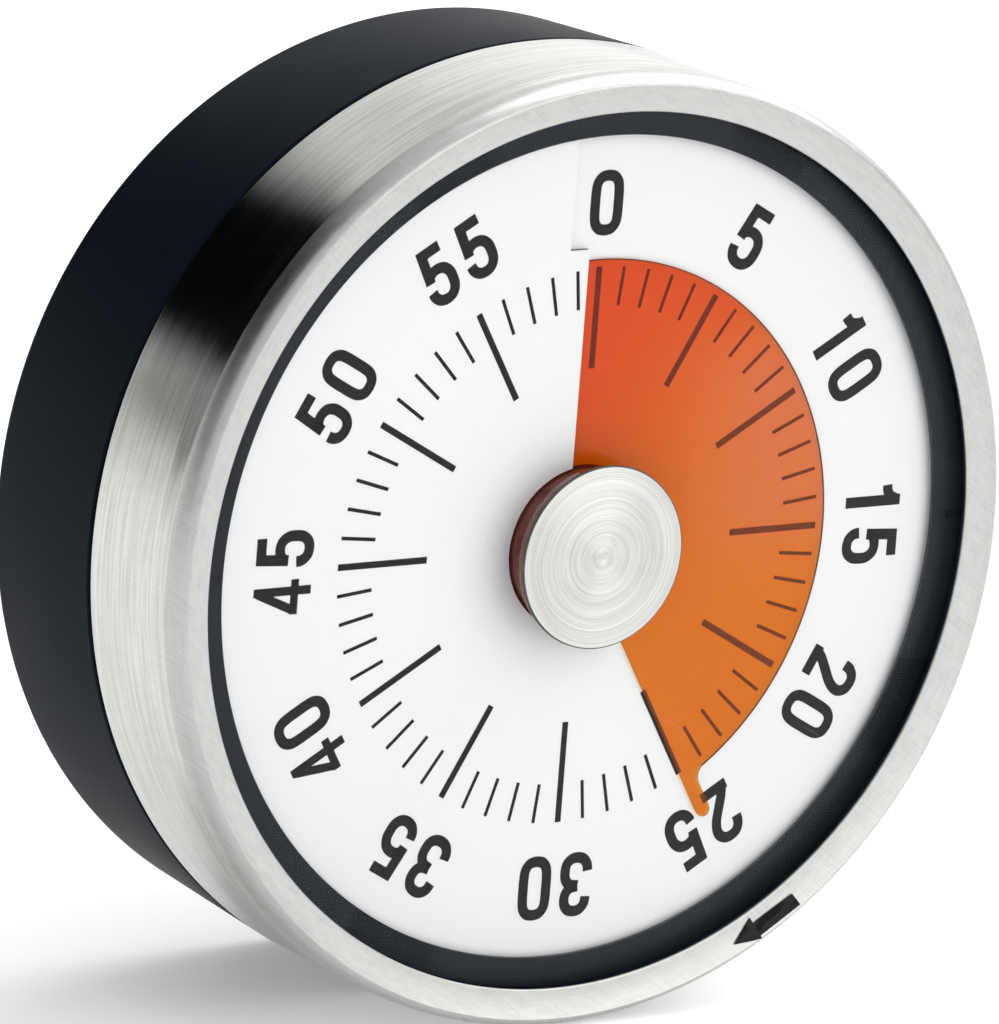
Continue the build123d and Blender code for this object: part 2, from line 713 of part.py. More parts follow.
# ---------------------------------------------------------------- bell and hammer
bell_radius = 15.0
bell_back = 6.6
bell_front = 11.4
bell_wall = 0.7
bell_shoulder = 2.5
bell_hole = 1.2
bell_front_face = bell_back + bell_wall
nut_bottom = 5.9
with BuildPart() as bell:
    with BuildSketch(section):
        with BuildLine():
            Line((bell_hole, bell_front_face), (bell_hole, bell_back))
            Line((bell_hole, bell_back), (bell_radius - bell_shoulder, bell_back))
            RadiusArc((bell_radius - bell_shoulder, bell_back), (bell_radius, bell_back + bell_shoulder),
                      -bell_shoulder)
            Polyline((bell_radius, bell_back + bell_shoulder), (bell_radius, bell_front),
                     (bell_radius - bell_wall, bell_front), (bell_radius - bell_wall, bell_back + bell_shoulder))
            RadiusArc((bell_radius - bell_wall, bell_back + bell_shoulder),
                      (bell_radius - bell_shoulder, bell_front_face), bell_shoulder - bell_wall)
            Line((bell_radius - bell_shoulder, bell_front_face), (bell_hole, bell_front_face))
        make_face()
    revolve(axis=Axis.Y)

with BuildPart() as bell_post:
    add_round(bell_front_face, back_plate_bottom, 2.2)
    add_round(nut_bottom + 0.05, bell_front_face, bell_hole)

with BuildPart() as bell_nut:
    with BuildSketch(level(nut_bottom)):
        RegularPolygon(radius=2.3, side_count=6)
        Circle(bell_hole, mode=Mode.SUBTRACT)
    extrude(amount=bell_back - nut_bottom)

hammer_gap = 0.5
hammer_head_radius = 1.5
head_place = clock_point(bell_radius + hammer_gap + hammer_head_radius, 185)
arm_bottom = 9.4
arm_top = 10.2
head_pin_radius = 0.7
with BuildPart() as hammer_arbor:
    add_round(arm_bottom - 0.6, front_plate_bottom, hammer_shaft_radius, [hammer_place])
    add_round(front_plate_bottom, front_plate_top - 0.2, pivot_radius, [hammer_place])

with BuildPart() as hammer_arm:
    add_bar(arm_bottom, arm_top, hammer_place, head_place, 2.0)
    add_round(arm_bottom, arm_top, 1.6, [hammer_place])
    add_round(arm_bottom, arm_top, hammer_shaft_radius, [hammer_place], Mode.SUBTRACT)
    add_round(arm_bottom, arm_top, head_pin_radius, [head_place], Mode.SUBTRACT)

with BuildPart() as hammer_head:
    add_round(arm_bottom - 1.4, arm_bottom, hammer_head_radius, [head_place])
    add_round(arm_bottom, arm_top, head_pin_radius, [head_place])
    add_round(arm_top, arm_top + 0.5, 1.0, [head_place])

coil_pitch = 0.42
coil_radius = 1.0
coil_wire_radius = 0.15
coil_start = (hammer_place[0], -(arm_top + 0.3), hammer_place[1])
coil_length = back_plate_bottom - arm_top - 0.6
with BuildPart() as hammer_spring:
    with BuildLine() as coil:
        Helix(coil_pitch, coil_length, coil_radius, center=coil_start, direction=(0, -1, 0))
    with BuildSketch(Plane(origin=coil.line @ 0, z_dir=coil.line % 0)):
        Circle(coil_wire_radius)
    sweep(path=coil.line)

# ================================================================ files
pieces = {
    "body_shell": body_shell, "back_cover": back_cover, "case_screws": case_screws,
    "ring_magnet": ring_magnet, "magnet_pad": magnet_pad, "dial": dial,
    "dial_support": dial_support, "dial_support_screws": dial_support_screws,
    "front_plate": front_plate, "back_plate": back_plate, "plate_pillars": plate_pillars,
    "plate_screws": plate_screws, "mainspring": mainspring, "spring_anchor": spring_anchor,
    "bell": bell, "bell_post": bell_post, "bell_nut": bell_nut, "hammer_spring": hammer_spring,
    "steel_ring": steel_ring, "front_carrier": front_carrier, "lens": lens, "knob_cap": knob_cap,
    "knob_hub": knob_hub, "hub_screw": hub_screw, "winding_arbor": winding_arbor,
    "main_wheel": main_wheel, "ratchet_wheel": ratchet_wheel, "click_pin": click_pin,
    "release_cam": release_cam, "click_pawl": click_pawl, "time_film": time_film,
    "second_wheel": second_wheel, "second_pinion": second_pinion, "third_wheel": third_wheel,
    "third_pinion": third_pinion, "escape_wheel": escape_wheel, "escape_pinion": escape_pinion,
    "pallet_lever": pallet_lever, "pallet_arbor": pallet_arbor, "balance_wheel": balance_wheel,
    "hammer_arm": hammer_arm, "hammer_head": hammer_head, "hammer_arbor": hammer_arbor,
    "stop_lever": stop_lever, "stop_lever_arbor": stop_lever_arbor,
}
for name, piece in pieces.items():
    save(piece, name)
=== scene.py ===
import math

import bmesh
import bpy
from mathutils import Matrix, Vector


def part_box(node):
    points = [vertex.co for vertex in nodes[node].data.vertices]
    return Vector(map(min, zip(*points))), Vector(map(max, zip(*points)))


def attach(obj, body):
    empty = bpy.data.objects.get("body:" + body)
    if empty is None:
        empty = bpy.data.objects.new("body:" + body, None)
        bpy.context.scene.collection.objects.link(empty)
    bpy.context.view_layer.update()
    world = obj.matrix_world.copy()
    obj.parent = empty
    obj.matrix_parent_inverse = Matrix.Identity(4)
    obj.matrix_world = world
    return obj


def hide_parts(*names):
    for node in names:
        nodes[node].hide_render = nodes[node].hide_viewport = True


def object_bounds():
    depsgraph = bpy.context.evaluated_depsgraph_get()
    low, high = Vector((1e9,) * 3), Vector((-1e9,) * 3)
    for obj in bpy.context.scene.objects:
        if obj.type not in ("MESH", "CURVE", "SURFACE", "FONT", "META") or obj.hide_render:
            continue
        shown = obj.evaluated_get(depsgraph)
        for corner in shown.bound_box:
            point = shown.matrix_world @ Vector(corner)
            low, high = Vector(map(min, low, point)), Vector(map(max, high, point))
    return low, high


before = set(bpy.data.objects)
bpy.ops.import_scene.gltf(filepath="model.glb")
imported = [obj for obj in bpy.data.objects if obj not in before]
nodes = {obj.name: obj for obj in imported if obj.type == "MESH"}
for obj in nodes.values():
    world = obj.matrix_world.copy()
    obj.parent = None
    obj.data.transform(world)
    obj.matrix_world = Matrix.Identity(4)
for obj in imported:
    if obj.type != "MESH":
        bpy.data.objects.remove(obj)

cad_low, cad_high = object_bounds()
MM = 0.001

# ---------------------------------------------------------------- camera
# fitted to the circles of the lip, the dial, the ring's rear edge and the body in the photograph
VIEW_RIGHT = Vector((0.8373, -0.5416, 0.0749))
VIEW_FORWARD = Vector((0.542, 0.8042, -0.2441)).normalized()
CAMERA_PLACE = (-0.56959, -0.86249, 0.25644)
FOCAL_LENGTH = 461.15
SENSOR_WIDTH = 36.0
view_up = VIEW_RIGHT.cross(VIEW_FORWARD).normalized()
view_right = VIEW_FORWARD.cross(view_up).normalized()
camera = bpy.data.objects.new("camera", bpy.data.cameras.new("camera"))
bpy.context.scene.collection.objects.link(camera)
camera.data.lens = FOCAL_LENGTH
camera.data.sensor_width = SENSOR_WIDTH
camera.data.clip_start = 0.05
camera.data.clip_end = 20.0
turn_to_view = Matrix((view_right, view_up, -VIEW_FORWARD)).transposed().to_4x4()
camera.matrix_world = Matrix.Translation(CAMERA_PLACE) @ turn_to_view
bpy.context.scene.camera = camera
bpy.context.scene.view_settings.view_transform = "Standard"


# ---------------------------------------------------------------- node helpers
class Nodes:
    """Short calls for building one material's node tree."""

    def __init__(self, tree):
        self.tree = tree

    def add(self, kind, sockets=(), **settings):
        """Adds a node; sockets maps an input's name or number to a value or an output."""
        made = self.tree.nodes.new(kind)
        for key, value in settings.items():
            setattr(made, key, value)
        for key, value in dict(sockets).items():
            self.feed(made.inputs[key], value)
        return made

    def feed(self, socket, value):
        """Links an output to a socket, or sets the socket's value."""
        if isinstance(value, bpy.types.NodeSocket):
            self.tree.links.new(value, socket)
        else:
            socket.default_value = value

    def math(self, operation, first, second=0.0, third=0.0):
        """A maths node's result; third counts only for MULTIPLY_ADD."""
        sockets = {0: first, 1: second, 2: third}
        return self.add("ShaderNodeMath", sockets, operation=operation).outputs[0]

    def ranged(self, value, low, high, to_low=0.0, to_high=1.0):
        """Maps low..high smoothly to to_low..to_high."""
        made = self.add("ShaderNodeMapRange", {0: value, 1: low, 2: high, 3: to_low, 4: to_high},
                        interpolation_type="SMOOTHSTEP")
        return made.outputs[0]

    def mix(self, factor, first, second):
        """The colour that lies between two others."""
        made = self.add("ShaderNodeMix", {0: factor, 6: first, 7: second}, data_type="RGBA")
        return made.outputs[2]

    def noise(self, vector, scale, detail=2.0, roughness=0.5):
        made = self.add("ShaderNodeTexNoise",
                        {"Vector": vector, "Scale": scale, "Detail": detail, "Roughness": roughness})
        return made.outputs["Fac"]

    def bump(self, height, strength, distance):
        sockets = {"Height": height, "Strength": strength, "Distance": distance}
        return self.add("ShaderNodeBump", sockets).outputs[0]

    def place(self):
        return self.add("ShaderNodeTexCoord").outputs["Object"]

    def turned(self, around, across):
        """Seamless coordinates of work turned about Y.

        The first two follow the angle, around times a radian, and the third
        crosses the marks, across times a metre of radius or depth.
        """
        parts = self.add("ShaderNodeSeparateXYZ", {0: self.place()}).outputs
        radius = self.math("SQRT", self.math("ADD", self.math("MULTIPLY", parts[0], parts[0]),
                                             self.math("MULTIPLY", parts[2], parts[2])))
        unit_x = self.math("MULTIPLY", self.math("DIVIDE", parts[0], radius), around)
        unit_z = self.math("MULTIPLY", self.math("DIVIDE", parts[2], radius), around)
        cross = self.math("MULTIPLY", self.math("ADD", radius, parts[1]), across)
        return self.add("ShaderNodeCombineXYZ", {0: unit_x, 1: unit_z, 2: cross}).outputs[0]

    def stretched(self, length, width, turn):
        """Coordinates for straight marks of a length and width, turned in the dial's plane."""
        sockets = {"Vector": self.place(), "Rotation": (0, math.radians(turn), 0),
                   "Scale": (length, length, width)}
        return self.add("ShaderNodeMapping", sockets, vector_type="TEXTURE").outputs[0]


def material(name, color, roughness, **sockets):
    """A Principled material; returns (material, node helper, shader)."""
    made = bpy.data.materials.new(name)
    made.use_nodes = True
    shader = made.node_tree.nodes["Principled BSDF"]
    shader.inputs["Base Color"].default_value = (*color, 1.0)
    shader.inputs["Roughness"].default_value = roughness
    for key, value in sockets.items():
        shader.inputs[key.replace("_", " ")].default_value = value
    return made, Nodes(made.node_tree), shader


SCRATCH_LENGTH = 3.5 * MM
SCRATCH_WIDTH = 0.07 * MM
SCRATCH_TURN = 38.0


def brushed(name, color, roughness, around, across, swirl, anisotropic=0.75, depth=0.004,
            contrast=0.2, rings=0.0):
    """Metal with circular brush marks about Y and a few straight scratches.

    around and across set how fine the marks are, as in Nodes.turned. swirl is
    the share of the straight scratches, and depth is the marks' depth in mm.
    rings, per metre of radius, adds evenly turned rings to the marks.
    """
    made, n, shader = material(name, color, roughness, Metallic=1.0, Anisotropic=anisotropic,
                               Anisotropic_Rotation=0.25)
    fine = n.noise(n.turned(around, across), 1.0, 3.0, 0.7)
    broad = n.noise(n.turned(around * 0.7, across * 0.35), 1.0, 2.0, 0.6)
    cross = n.noise(n.stretched(SCRATCH_LENGTH, SCRATCH_WIDTH, SCRATCH_TURN), 1.0, 3.0, 0.6)
    marks = n.math("MULTIPLY_ADD", broad, 0.45, n.math("MULTIPLY", fine, 0.55))
    if rings:
        turns = n.add("ShaderNodeSeparateXYZ", {0: n.turned(around, rings)}).outputs[2]
        uneven = n.math("MULTIPLY", broad, 9.0)
        wave = n.math("SINE", n.math("MULTIPLY_ADD", turns, 2 * math.pi, uneven))
        marks = n.math("MULTIPLY_ADD", wave, 0.07, marks)
    mixed = n.math("MULTIPLY_ADD", cross, swirl, n.math("MULTIPLY", marks, 1.0 - swirl))
    tone = n.ranged(mixed, 0.32, 0.68)
    dark = tuple(channel * (1.0 - contrast) for channel in color)
    light = tuple(min(1.0, channel * (1.0 + 0.6 * contrast)) for channel in color)
    n.feed(shader.inputs["Base Color"], n.mix(tone, (*dark, 1.0), (*light, 1.0)))
    n.feed(shader.inputs["Roughness"], n.ranged(fine, 0.25, 0.75, roughness * 0.85, roughness * 1.2))
    height = n.math("MULTIPLY_ADD", cross, swirl, fine)
    n.feed(shader.inputs["Normal"], n.bump(height, 0.5, depth * MM))
    n.feed(shader.inputs["Tangent"],
           n.add("ShaderNodeTangent", direction_type="RADIAL", axis="Y").outputs[0])
    return made


def moulded(name, color, roughness, grain=0.35, grain_scale=5200.0, coat=0.0, gloss=0.28):
    """Moulded plastic with a fine grain, soft flow variation and slight wear."""
    made, n, shader = material(name, color, roughness, Coat_Weight=coat, Coat_Roughness=0.08,
                               Specular_IOR_Level=gloss)
    place = n.place()
    fine = n.noise(place, grain_scale, 3.0, 0.6)
    flow = n.noise(place, 60.0, 3.0)
    dark = tuple(channel * 0.85 for channel in color)
    light = tuple(channel * 1.2 + 0.002 for channel in color)
    n.feed(shader.inputs["Base Color"], n.mix(flow, (*dark, 1.0), (*light, 1.0)))
    n.feed(shader.inputs["Roughness"], n.ranged(flow, 0.2, 0.8, roughness * 0.9, roughness * 1.1))
    n.feed(shader.inputs["Normal"], n.bump(fine, grain, 0.02 * MM))
    return made


def machined(name, color, roughness, scale=1400.0):
    """Small turned, cut or stamped metal: fine tool marks and slight tarnish."""
    made, n, shader = material(name, color, roughness, Metallic=1.0)
    lines = n.noise(n.stretched(8.0 / scale, 0.2 / scale, 20.0), 1.0, 3.0)
    tarnish = n.noise(n.place(), 220.0, 4.0)
    dark = tuple(channel * 0.7 for channel in color)
    n.feed(shader.inputs["Base Color"],
           n.mix(n.ranged(tarnish, 0.35, 0.7), (*color, 1.0), (*dark, 1.0)))
    n.feed(shader.inputs["Roughness"], n.ranged(tarnish, 0.3, 0.7, roughness * 0.8, roughness * 1.3))
    n.feed(shader.inputs["Normal"], n.bump(lines, 0.25, 0.004 * MM))
    return made


# ---------------------------------------------------------------- materials
steel_side = brushed("brushed_ring_steel", (0.60, 0.597, 0.575), 0.15, 5.0, 8000.0, 0.15,
                     contrast=0.24, depth=0.0022)
steel_lip = brushed("brushed_lip_steel", (0.49, 0.49, 0.48), 0.34, 30.0, 8000.0, 0.5,
                    anisotropic=0.3, depth=0.007, contrast=0.14)
steel_cap = brushed("spun_cap_metal", (0.58, 0.58, 0.565), 0.34, 0.5, 9000.0, 0.05,
                    anisotropic=0.85, contrast=0.22, rings=5600.0)
# a dark copy of the cap's metal for its rim: painted shade for the dark line round the cap's edge
steel_shade = brushed("cap_rim_painted_shade", (0.10, 0.10, 0.10), 0.4, 3.0, 9000.0, 0.1)
body_black = moulded("body_blue_black", (0.0012, 0.0042, 0.0085), 0.46, gloss=0.05)
carrier_black = moulded("carrier_black", (0.004, 0.007, 0.011), 0.30, grain=0.12, gloss=0.2)
hub_brown = moulded("hub_red_brown", (0.13, 0.026, 0.016), 0.16, grain=0.03, grain_scale=2500.0,
                    coat=0.3)
pad_black = moulded("pad_rubber", (0.010, 0.010, 0.010), 0.7, grain=0.6, grain_scale=2600.0)
inner_white = moulded("inner_white", (0.62, 0.62, 0.59), 0.45)
screw_metal = machined("screw_metal", (0.55, 0.55, 0.54), 0.28)
train_metal = machined("train_metal", (0.45, 0.45, 0.46), 0.25)
blued_metal = machined("blued_spring", (0.10, 0.12, 0.20), 0.3)
bell_metal = machined("bell_nickel", (0.75, 0.74, 0.72), 0.12, 700.0)
plate_metal = machined("plate_brass", (0.70, 0.50, 0.20), 0.3)
wheel_metal = machined("wheel_brass", (0.76, 0.55, 0.23), 0.24)
magnet_grey = moulded("magnet_ferrite", (0.055, 0.055, 0.058), 0.5, grain=0.8, grain_scale=1500.0)


def card_material():
    """Matt white card with a fine tooth, faintly cloudy in tone."""
    made, n, shader = material("dial_card", (0.78, 0.78, 0.78), 0.55)
    fine = n.noise(n.place(), 4200.0, 3.0)
    cloud = n.noise(n.place(), 45.0, 2.0)
    n.feed(shader.inputs["Base Color"],
           n.mix(cloud, (0.69, 0.695, 0.70, 1.0), (0.73, 0.73, 0.725, 1.0)))
    n.feed(shader.inputs["Roughness"], n.ranged(fine, 0.3, 0.7, 0.5, 0.62))
    n.feed(shader.inputs["Normal"], n.bump(fine, 0.12, 0.01 * MM))
    return made


def ink_material(name, color):
    """Printed ink: nearly black, with tiny pinholes of lighter tone."""
    made, n, shader = material(name, color, 0.45, Specular_IOR_Level=0.05)
    speck = n.noise(n.place(), 5200.0, 4.0, 0.7)
    worn = tuple(channel * 2.4 + 0.01 for channel in color)
    n.feed(shader.inputs["Base Color"],
           n.mix(n.ranged(speck, 0.62, 0.78), (*color, 1.0), (*worn, 1.0)))
    n.feed(shader.inputs["Roughness"], n.ranged(speck, 0.3, 0.7, 0.38, 0.55))
    return made


FILM_BODY = 0.07             # share of the light that each face of the film stops


def film_material():
    """Translucent orange-red film: it tints what lies under it and has its own gloss; a painted
    reflection runs across its colour.
    """
    made, n, shader = material("time_film", (0.85, 0.10, 0.02), 0.3, Specular_IOR_Level=0.3)
    parts = n.add("ShaderNodeSeparateXYZ", {0: n.place()}).outputs
    # red at the top and more orange towards the foot and the right: partly the film's own tint and
    # partly painted reflection, with a random unevenness added
    slope = n.math("SUBTRACT", n.math("MULTIPLY", parts[0], 0.4), parts[2])
    warmth_and_painted_reflection = n.math("MULTIPLY_ADD", n.noise(n.place(), 55.0, 2.0), 0.35,
                  n.ranged(slope, -0.024, 0.012, 0.0, 0.8))
    n.feed(shader.inputs["Base Color"],
           n.mix(warmth_and_painted_reflection, (0.95, 0.05, 0.02, 1.0), (1.0, 0.22, 0.001, 1.0)))
    speck = n.noise(n.place(), 900.0, 4.0, 0.7)
    n.feed(shader.inputs["Roughness"], n.ranged(speck, 0.3, 0.7, 0.24, 0.36))
    # light crosses the two faces twice, so each face tints by a fourth root
    tint = n.mix(warmth_and_painted_reflection, (1.0, 0.52, 0.32, 1.0), (1.0, 0.72, 0.10, 1.0))
    # painted reflection: paler towards the right, between a height under the knob's middle and one
    # above the knob
    level = n.math("MULTIPLY", n.ranged(parts[2], -0.010, 0.003),
                   n.ranged(parts[2], 0.012, 0.022, 0.85, 0.0))
    painted_pale_reflection = n.math("MULTIPLY", n.ranged(parts[0], 0.002, 0.018), level)
    tint = n.mix(painted_pale_reflection, tint, (1.0, 0.72, 0.60, 1.0))
    clear = n.add("ShaderNodeBsdfTransparent", {0: tint})
    both = n.add("ShaderNodeMixShader", {0: FILM_BODY, 1: clear.outputs[0], 2: shader.outputs[0]})
    n.feed(made.node_tree.nodes["Material Output"].inputs[0], both.outputs[0])
    return made


WINDOW_GLARE = 0.12


def lens_material():
    """Clear acrylic seen as its reflection only, with a few hairline scratches."""
    made, n, shader = material("lens_clear", (0.95, 0.97, 1.0), 0.035, Metallic=1.0)
    glance = n.add("ShaderNodeFresnel", {"IOR": 1.49}).outputs[0]
    hairs = n.ranged(n.noise(n.stretched(9.0 * MM, 0.12 * MM, 31.0), 1.0, 2.0, 0.6), 0.71, 0.77)
    cross = n.ranged(n.noise(n.stretched(6.0 * MM, 0.12 * MM, -47.0), 1.0, 2.0, 0.6), 0.72, 0.78)
    dust = n.ranged(n.noise(n.place(), 1500.0, 1.0), 0.80, 0.84)
    wear = n.math("MULTIPLY", n.math("ADD", n.math("ADD", hairs, cross), dust), 0.035)
    # the alpha is what the window reflects, kept faint so that the dial stays clear of glare
    n.feed(shader.inputs["Alpha"], n.math("ADD", n.math("MULTIPLY", glance, WINDOW_GLARE), wear))
    n.feed(shader.inputs["Roughness"], n.ranged(wear, 0.0, 0.1, 0.03, 0.3))
    return made


dial_card = card_material()
print_ink = ink_material("dial_ink", (0.006, 0.006, 0.006))
arrow_ink = ink_material("arrow_ink", (0.020, 0.020, 0.020))
film_red = film_material()
# a dark finish for the film's cut rim, ends and sides: painted shade, made with the ink material though
# nothing is printed there
film_rim_painted_shade = ink_material("film_edge", (0.10, 0.015, 0.008))
lens_clear = lens_material()

NODE_MATERIALS = {
    "case_screws": screw_metal, "dial": dial_card, "dial_support": inner_white,
    "dial_support_screws": screw_metal, "front_plate": plate_metal, "back_plate": plate_metal,
    "plate_pillars": train_metal, "plate_screws": screw_metal, "mainspring": blued_metal,
    "spring_anchor": train_metal, "bell": bell_metal, "bell_post": train_metal, "bell_nut": train_metal,
    "hammer_spring": blued_metal, "hub_screw": screw_metal, "winding_arbor": train_metal,
    "main_wheel": wheel_metal, "ratchet_wheel": train_metal, "click_pin": train_metal,
    "release_cam": inner_white, "click_pawl": train_metal, "second_wheel": wheel_metal,
    "second_pinion": train_metal, "third_wheel": wheel_metal, "third_pinion": train_metal,
    "escape_wheel": wheel_metal, "escape_pinion": train_metal, "pallet_lever": train_metal,
    "pallet_arbor": train_metal, "balance_wheel": wheel_metal, "hammer_arm": train_metal,
    "hammer_head": train_metal, "hammer_arbor": train_metal, "stop_lever": train_metal,
    "stop_lever_arbor": train_metal, "back_cover": body_black, "ring_magnet": magnet_grey,
    "magnet_pad": pad_black, "steel_ring": steel_side, "body_shell": body_black,
    "front_carrier": carrier_black, "lens": lens_clear, "knob_cap": steel_cap, "knob_hub": hub_brown,
    "time_film": film_red,
}
for node_name, node in nodes.items():
    node.data.materials.clear()
    node.data.materials.append(NODE_MATERIALS[node_name])


# ---------------------------------------------------------------- mesh helpers
def closed_mesh(name, shape):
    """Turns a finished bmesh into a mesh with its faces looking outward."""
    bmesh.ops.recalc_face_normals(shape, faces=shape.faces[:])
    mesh = bpy.data.meshes.new(name)
    shape.to_mesh(mesh)
    shape.free()
    return mesh


def clock(radius, angle):
    """(x, z) at a radius and an angle in degrees turned clockwise from the top."""
    return radius * math.sin(math.radians(angle)), radius * math.cos(math.radians(angle))


def finish_piece(name, mesh, finishes, body, sharp=32.0):
    """Links a finished mesh as a piece that rides on a body; finishes is one or several."""
    for finish in finishes if isinstance(finishes, tuple) else (finishes,):
        mesh.materials.append(finish)
    mesh.shade_smooth()
    mesh.set_sharp_from_angle(angle=math.radians(sharp))
    piece = bpy.data.objects.new(name, mesh)
    bpy.context.scene.collection.objects.link(piece)
    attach(piece, body)
    return piece


def arc(centre, radius, start, end, steps=8, tall=1.0):
    """Points of an arc in (radius, height), angles in degrees from outward.

    tall stretches the arc in height.
    """
    angles = [math.radians(start + (end - start) * step / steps) for step in range(steps + 1)]
    return [(centre[0] + radius * math.cos(a), centre[1] + radius * tall * math.sin(a)) for a in angles]


def lathe(name, profile, finishes, body, steps=320, second_from=None):
    """A closed (radius, height) outline in metres, turned about Y; height is towards -Y.

    The outline's sides from number second_from on take the second finish.
    """
    shape = bmesh.new()
    rows = []
    for step in range(steps):
        angle = 360.0 * step / steps
        rows.append([])
        for radius, height in profile:
            x, z = clock(radius, angle)
            rows[-1].append(shape.verts.new((x, -height, z)))
    count = len(profile)
    for step in range(steps):
        here, there = rows[step], rows[(step + 1) % steps]
        for corner in range(count):
            after = (corner + 1) % count
            face = shape.faces.new((here[corner], here[after], there[after], there[corner]))
            if second_from is not None and corner >= second_from:
                face.material_index = 1
    return finish_piece(name, closed_mesh(name, shape), finishes, body)


# ---------------------------------------------------------------- steel ring
ring_low, ring_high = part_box("steel_ring")
lip_radius = ring_high.x
lip_front = -ring_low.y
ring_back = -ring_high.y
lens_low, lens_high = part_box("lens")
lens_front = -lens_low.y
lip_corner = 1.1 * MM
face_inner = 35.9 * MM
face_drop = 0.8 * MM
seat_radius = 37.6 * MM
waist_deepest = lip_front - 2.6 * MM
waist_depth = 0.26 * MM
WAIST_REACH = 1.9 * MM
LIP_TALL = 1.6               # height of the lip's rounding against its radius
guide_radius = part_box("dial_support")[1].x + 0.1 * MM
rim_inner = 35.98 * MM
rim_outer = 36.35 * MM
rim_front = lip_front - face_drop - 0.27 * MM
lens_seat = lens_high.x + 0.05 * MM
flange_inner = 33.7 * MM

side_round = 0.3 * MM
inner_round = 0.16 * MM

# the side dips to the waist in half a cosine
WAIST_STEPS = 12
waist = []
for step in range(WAIST_STEPS + 1):
    height = waist_deepest - WAIST_REACH * (1 - step / WAIST_STEPS)
    depth = 0.5 + 0.5 * math.cos(math.pi * (waist_deepest - height) / WAIST_REACH)
    waist.append((lip_radius - waist_depth * depth, height))
side_points = [(seat_radius, lens_front), (seat_radius, ring_back)] + arc(
    (lip_radius - side_round, ring_back + side_round), side_round, -90, 0, 5) + waist
ring_profile = (
    side_points
    + arc((lip_radius - lip_corner, lip_front - lip_corner * LIP_TALL), lip_corner, -24, 74, 18,
          LIP_TALL)
    + arc((face_inner + inner_round, lip_front - face_drop - 0.12 * MM), inner_round, 68, 250, 8)
    + [(rim_outer, rim_front), (rim_outer, lens_front)]
)
ring = lathe("ring_shell", ring_profile, (steel_side, steel_lip), "turning_front", 400,
             second_from=len(side_points) - 1)
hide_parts("steel_ring")

# the black carrier, with the rim that stands up under the lip's inner edge
carrier_back = -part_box("front_carrier")[1].y
carrier_bore = guide_radius + 0.08 * MM
lens_back = -lens_high.y
flange_back = lens_back - 0.3 * MM
rim_bevel = 0.15 * MM
flange_bevel = 0.05 * MM
carrier_profile = [
    (carrier_bore, carrier_back), (seat_radius, carrier_back), (seat_radius, lens_front),
    (rim_outer, lens_front), (rim_outer, rim_front),
    (rim_inner + rim_bevel, rim_front), (rim_inner, rim_front - rim_bevel), (rim_inner, lens_front),
    (lens_seat, lens_front), (lens_seat, lens_back),
    (flange_inner + flange_bevel, lens_back), (flange_inner, lens_back - flange_bevel),
    (flange_inner, flange_back), (carrier_bore, flange_back),
]
carrier = lathe("carrier_ring", carrier_profile, carrier_black, "turning_front", 400)
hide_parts("front_carrier")

lens_edge = 0.06 * MM
lens_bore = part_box("knob_hub")[1].x
lens_profile = [
    (lens_bore, lens_back), (lens_high.x - lens_edge, lens_back),
    (lens_high.x, lens_back + lens_edge), (lens_high.x, lens_front - lens_edge),
    (lens_high.x - lens_edge, lens_front), (lens_bore, lens_front),
]
window = lathe("window_disc", lens_profile, lens_clear, "turning_front", 256)
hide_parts("lens")

# ---------------------------------------------------------------- knob
cap_low, cap_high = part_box("knob_cap")
hub_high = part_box("knob_hub")[1]
cap_radius = cap_high.x
cap_front = -cap_low.y
cap_back = cap_front - 0.3 * MM
cap_edge = 0.11 * MM
cap_bevel = 0.05 * MM
hub_radius = hub_high.x
hub_back = -hub_high.y
hub_bevel = 0.15 * MM
collar_radius = cap_radius - 0.22 * MM
collar_bevel = 0.08 * MM
CORE = 0.02 * MM              # the axis is left open by this much, too little to see
cap_profile = (
    [(cap_radius - cap_edge, cap_front), (CORE, cap_front), (CORE, cap_back),
     (cap_radius - cap_bevel, cap_back), (cap_radius, cap_back + cap_bevel)]
    + arc((cap_radius - cap_edge, cap_front - cap_edge), cap_edge, 0, 75, 5)
)
# the cap's back bevel, side and rounded rim take the dark copy, painted shade
cap = lathe("cap_disc", cap_profile, (steel_cap, steel_shade), "turning_front", 256,
            second_from=3)
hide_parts("knob_cap")

# the collar widens above the window to carry the metal disc
hub_profile = [
    (CORE, cap_back), (CORE, hub_back),
    (hub_radius - hub_bevel, hub_back), (hub_radius, hub_back + hub_bevel),
    (hub_radius, lens_front + 0.1 * MM), (hub_radius + 0.3 * MM, lens_front + 0.35 * MM),
    (collar_radius - 0.1 * MM, lens_front + 0.6 * MM), (collar_radius, lens_front + 0.8 * MM),
    (collar_radius, cap_back - collar_bevel), (collar_radius - collar_bevel, cap_back),
]
hub = lathe("hub_collar", hub_profile, hub_brown, "turning_front", 256)
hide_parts("knob_hub", "hub_screw")

# ---------------------------------------------------------------- body
body_low, body_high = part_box("body_shell")
body_back = -body_high.y
body_front_radius = body_high.x
body_front = ring_back - 0.3 * MM
body_back_radius = body_front_radius - 0.85 * MM
cover_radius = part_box("back_cover")[1].x
sleeve_inner = guide_radius - 1.5 * MM
tub_floor = body_front - 1.5 * MM
tub_inner = cover_radius + 0.06 * MM
edge_round = 0.9 * MM
front_round = 0.25 * MM
# a low collar keeps light out of the gap behind the ring
collar_edge = body_front_radius - 0.7 * MM
collar_front = body_front + 0.2 * MM
body_profile = (
    [(sleeve_inner, -body_low.y), (sleeve_inner, tub_floor), (tub_inner, tub_floor),
     (tub_inner, body_back)]
    + arc((body_back_radius - edge_round, body_back + edge_round), edge_round, -90, 0, 10)
    + [(body_front_radius, body_front - front_round)]
    + arc((body_front_radius - front_round, body_front - front_round), front_round, 10, 90, 5)
    + [(collar_edge, body_front), (collar_edge, collar_front), (guide_radius, collar_front),
       (guide_radius, -body_low.y)]
)
body = lathe("body_tub", body_profile, body_black, "case", 400)
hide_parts("body_shell")

